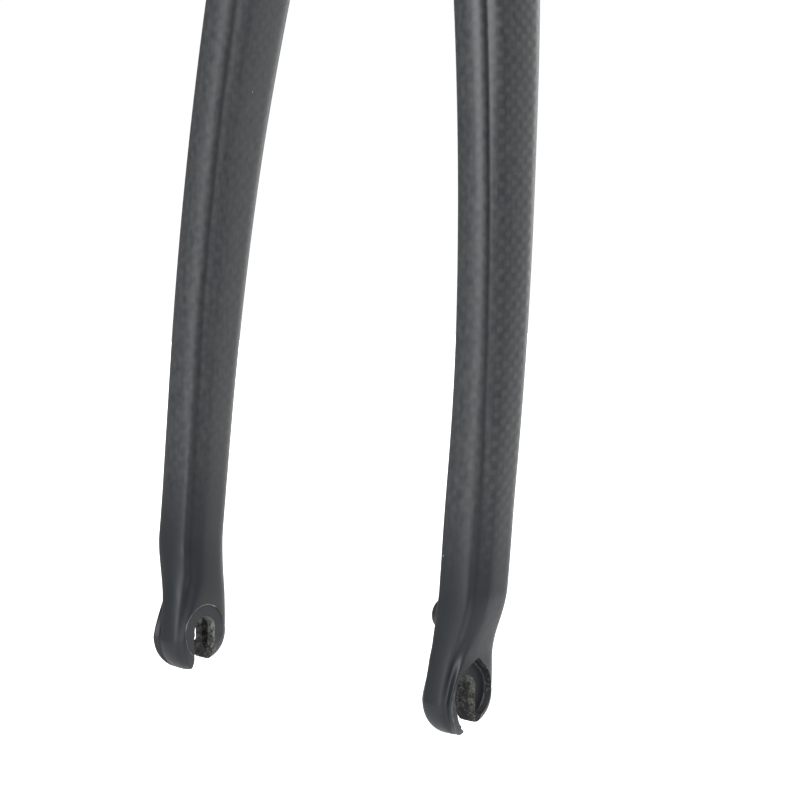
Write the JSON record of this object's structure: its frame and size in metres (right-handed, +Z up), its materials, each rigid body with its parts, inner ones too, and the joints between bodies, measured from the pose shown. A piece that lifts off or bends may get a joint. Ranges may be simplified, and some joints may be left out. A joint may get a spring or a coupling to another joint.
{
  "type": "rigid mountain bike fork",
  "caption": "Rigid carbon bicycle fork with bowed slim legs, open dropouts behind a raised lip, an arched crown and a plain steerer tube.",
  "frame": {"origin": "on the steerer axis, at the shoulder that carries the lower headset race", "axes": "+X to the rider's left, +Y to the rear, +Z up along the steerer"},
  "size_m": [0.1338, 0.0753, 0.6726],
  "materials": {
    "carbon_weave": "matt clear coat over plain-weave carbon",
    "carbon_tube": "satin unidirectional carbon",
    "insert_metal": "satin",
    "screw_black": "black"
  },
  "bodies": {
    "root": {"fork_moulding": "carbon_weave", "steerer_tube": "carbon_tube", "guide_insert": "insert_metal", "guide_bolt": "screw_black"}
  },
  "joints": []
}
